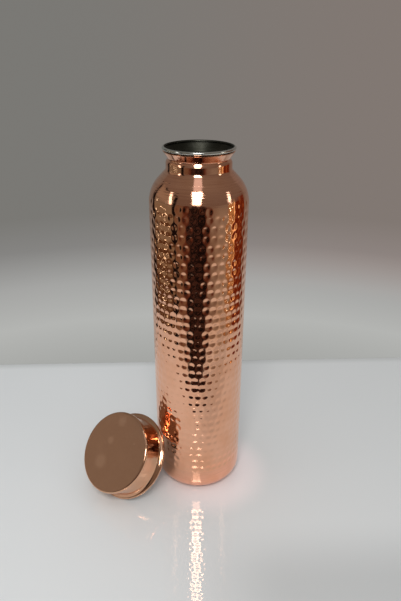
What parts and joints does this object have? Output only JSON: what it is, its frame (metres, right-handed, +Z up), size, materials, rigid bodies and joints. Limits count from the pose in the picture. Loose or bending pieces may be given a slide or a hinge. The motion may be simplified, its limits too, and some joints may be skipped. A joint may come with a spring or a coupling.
{
  "type": "copper water bottle",
  "caption": "Tall round hammered copper water bottle with a steel lining and rolled lip, its wide push-on copper cap taken off and leaning against its side.",
  "frame": {"origin": "on the surface that the bottle stands on, under the middle of the whole object's box, cap included", "axes": "+Z up along the bottle; +Y away from the viewer; the cap leans on the bottle's -X side, its top facing -X -Y and up"},
  "size_m": [0.1338, 0.096, 0.284],
  "materials": {
    "hammered_copper": "bright polished copper, hammered all over with small round dents",
    "cap_copper": "polished copper wall and bead, fine satin flat top",
    "polished_steel": "polished, slightly clouded inside",
    "clear_silicone": "soft, satin, slightly milky"
  },
  "bodies": {
    "bottle": {"outer_shell": "hammered_copper", "base_plate": "hammered_copper", "liner_body": "polished_steel", "liner_bottom": "polished_steel"},
    "seal": {"cap_seal": "clear_silicone"},
    "cap": {"cap_shell": "cap_copper", "cap_insert": "polished_steel"}
  },
  "joints": [
    {"name": "cap_lift", "type": "slide", "parent": "bottle", "child": "seal", "axis": [-0.5084, -0.5452, 0.6665], "range_m": [0, 0.08]},
    {"name": "cap_twist", "type": "hinge", "parent": "seal", "child": "cap", "pos_m": [-0.02751, -0.00858, 0.02623], "axis": [-0.5084, -0.5452, 0.6665], "continuous": true}
  ]
}
